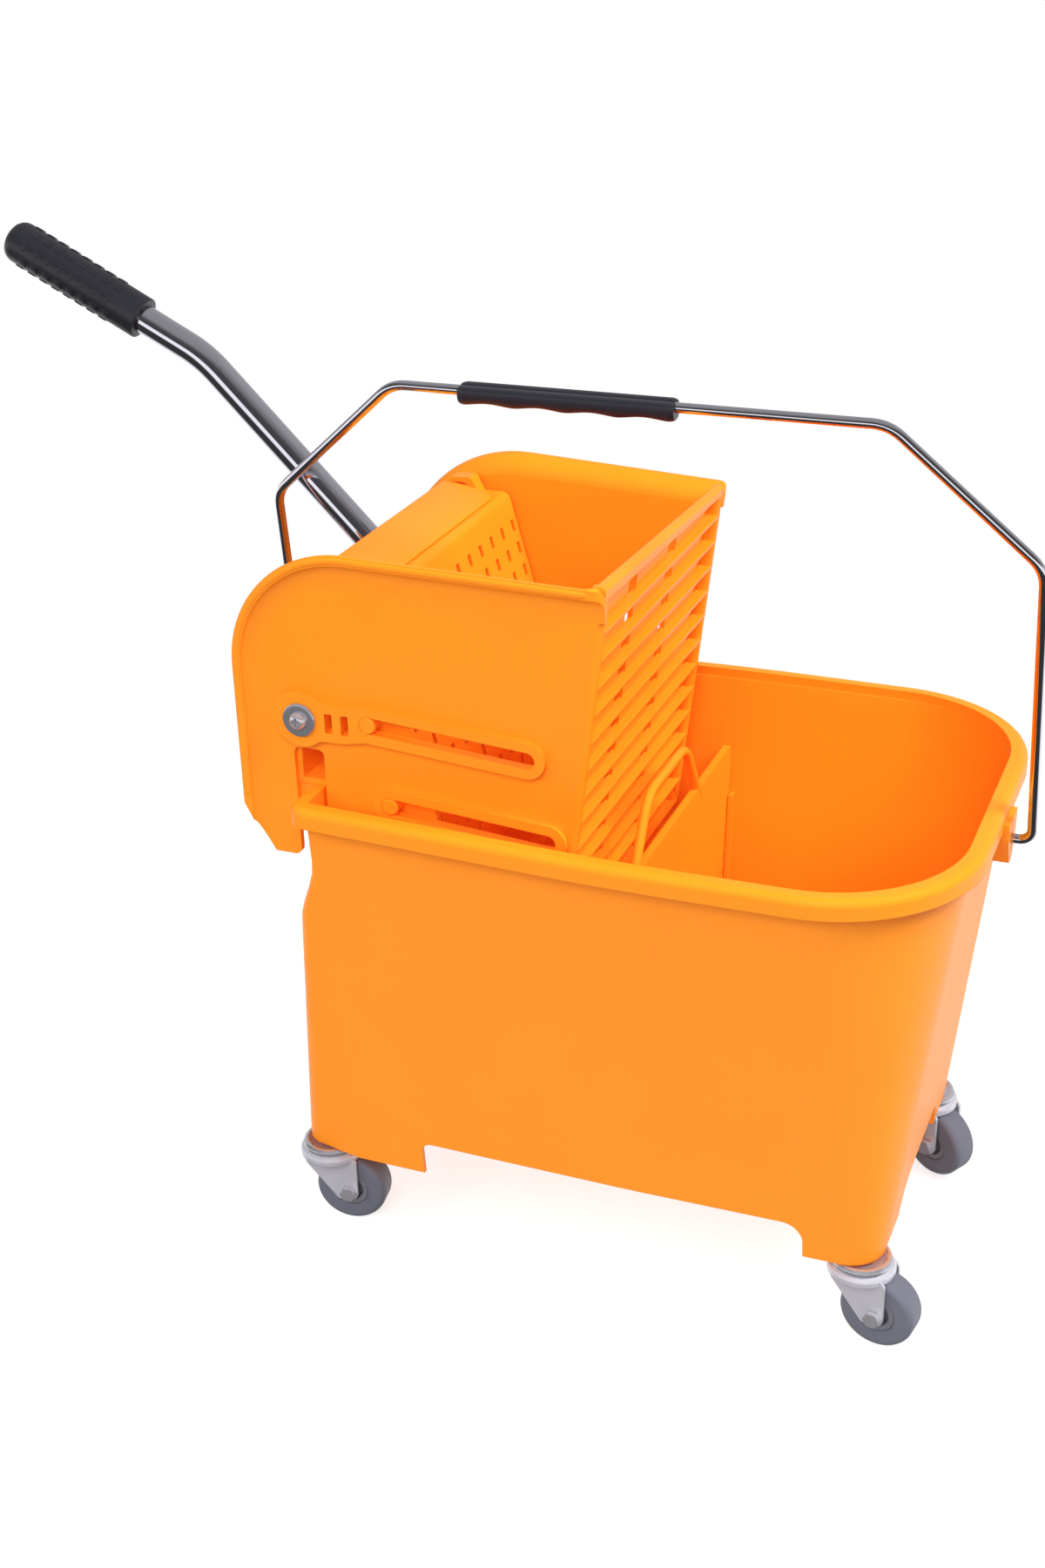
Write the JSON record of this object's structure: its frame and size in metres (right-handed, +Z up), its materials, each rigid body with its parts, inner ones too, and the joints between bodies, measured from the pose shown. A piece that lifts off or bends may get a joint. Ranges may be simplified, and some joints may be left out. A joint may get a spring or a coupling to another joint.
{
  "type": "mop bucket with wringer",
  "caption": "Wheeled plastic mop bucket with a lever press wringer on one end, a wire carrying bail, a lift-out divider and swivel casters.",
  "frame": {"origin": "on the floor under the middle of the bucket, in its lengthwise middle plane", "axes": "+X along the bucket away from the wringer, +Y across it to the far side, +Z up"},
  "size_m": [0.6935, 0.3232, 0.6567],
  "materials": {
    "orange_plastic": "satin moulded plastic",
    "chrome": "bright plated steel",
    "zinc": "bright zinc plated steel",
    "black_plastic": "satin black plastic",
    "black_rubber": "matt black rubber",
    "tyre_rubber": "grey non-marking rubber",
    "hub_plastic": "dark grey plastic",
    "nylon": "natural nylon",
    "spring_steel": "plated spring wire"
  },
  "bodies": {
    "bucket": {"bucket": "orange_plastic", "wringer_body": "orange_plastic", "pivot_screws": "zinc", "pivot_washers": "zinc", "pivot_bushes": "nylon", "pivot_nuts": "zinc", "return_spring_far": "spring_steel", "return_spring_near": "spring_steel", "caster_wringer_near_stem": "zinc", "caster_wringer_near_stem_nut": "zinc", "caster_wringer_near_cup": "zinc", "caster_wringer_far_stem": "zinc", "caster_wringer_far_stem_nut": "zinc", "caster_wringer_far_cup": "zinc", "caster_plain_near_stem": "zinc", "caster_plain_near_stem_nut": "zinc", "caster_plain_near_cup": "zinc", "caster_plain_far_stem": "zinc", "caster_plain_far_stem_nut": "zinc", "caster_plain_far_cup": "zinc"},
    "divider": {"divider_plate": "orange_plastic"},
    "bail": {"bail_wire": "chrome", "bail_grip": "black_plastic"},
    "press": {"press_plate": "orange_plastic", "guide_pins": "orange_plastic"},
    "lever": {"lever_bracket": "orange_plastic", "lever_tube": "chrome", "lever_grip": "black_rubber", "lever_bolt": "zinc", "lever_nut": "zinc"},
    "fork_wringer_near": {"caster_wringer_near_fork": "zinc", "caster_wringer_near_axle": "zinc", "caster_wringer_near_axle_nut": "zinc"},
    "wheel_wringer_near": {"caster_wringer_near_hub": "hub_plastic", "caster_wringer_near_tyre": "tyre_rubber"},
    "fork_wringer_far": {"caster_wringer_far_fork": "zinc", "caster_wringer_far_axle": "zinc", "caster_wringer_far_axle_nut": "zinc"},
    "wheel_wringer_far": {"caster_wringer_far_hub": "hub_plastic", "caster_wringer_far_tyre": "tyre_rubber"},
    "fork_plain_near": {"caster_plain_near_fork": "zinc", "caster_plain_near_axle": "zinc", "caster_plain_near_axle_nut": "zinc"},
    "wheel_plain_near": {"caster_plain_near_hub": "hub_plastic", "caster_plain_near_tyre": "tyre_rubber"},
    "fork_plain_far": {"caster_plain_far_fork": "zinc", "caster_plain_far_axle": "zinc", "caster_plain_far_axle_nut": "zinc"},
    "wheel_plain_far": {"caster_plain_far_hub": "hub_plastic", "caster_plain_far_tyre": "tyre_rubber"}
  },
  "joints": [
    {"name": "lever_press", "type": "hinge", "parent": "bucket", "child": "lever", "pos_m": [-0.178, 0, 0.389], "axis": [0, -1, 0], "range_deg": [0, 40], "stiffness_Nm_per_rad": 2.65, "springref_deg": -30.37},
    {"name": "press_slide", "type": "slide", "parent": "bucket", "child": "press", "axis": [0.9969, 0, -0.0785], "range_m": [0, 0.06563], "deforming": ["return_spring_far", "return_spring_near"]},
    {"name": "bail_swing", "type": "hinge", "parent": "bucket", "child": "bail", "pos_m": [0.00825, 0, 0.3185], "axis": [1, 0, 0], "range_deg": [-4, 136]},
    {"name": "divider_lift", "type": "slide", "parent": "bucket", "child": "divider", "axis": [0, 0, 1], "range_m": [0, 0.095]},
    {"name": "swivel_wringer_near", "type": "hinge", "parent": "bucket", "child": "fork_wringer_near", "pos_m": [-0.19, -0.099, 0.0565], "axis": [0, 0, 1], "continuous": true},
    {"name": "spin_wringer_near", "type": "hinge", "parent": "fork_wringer_near", "child": "wheel_wringer_near", "pos_m": [-0.17564, -0.09698, 0.025], "axis": [-0.1392, 0.9903, 0], "continuous": true},
    {"name": "swivel_wringer_far", "type": "hinge", "parent": "bucket", "child": "fork_wringer_far", "pos_m": [-0.19, 0.099, 0.0565], "axis": [0, 0, 1], "continuous": true},
    {"name": "spin_wringer_far", "type": "hinge", "parent": "fork_wringer_far", "child": "wheel_wringer_far", "pos_m": [-0.17637, 0.09404, 0.025], "axis": [0.342, 0.9397, 0], "continuous": true},
    {"name": "swivel_plain_near", "type": "hinge", "parent": "bucket", "child": "fork_plain_near", "pos_m": [0.1845, -0.099, 0.0565], "axis": [0, 0, 1], "continuous": true},
    {"name": "spin_plain_near", "type": "hinge", "parent": "fork_plain_near", "child": "wheel_plain_near", "pos_m": [0.19882, -0.10127, 0.025], "axis": [0.1564, 0.9877, 0], "continuous": true},
    {"name": "swivel_plain_far", "type": "hinge", "parent": "bucket", "child": "fork_plain_far", "pos_m": [0.1845, 0.099, 0.0565], "axis": [0, 0, 1], "continuous": true},
    {"name": "spin_plain_far", "type": "hinge", "parent": "fork_plain_far", "child": "wheel_plain_far", "pos_m": [0.19718, 0.09197, 0.025], "axis": [0.4848, 0.8746, 0], "continuous": true}
  ],
  "couplings": [
    {"joint": "press_slide", "follows": "lever_press", "m_per_rad": 0.094}
  ]
}
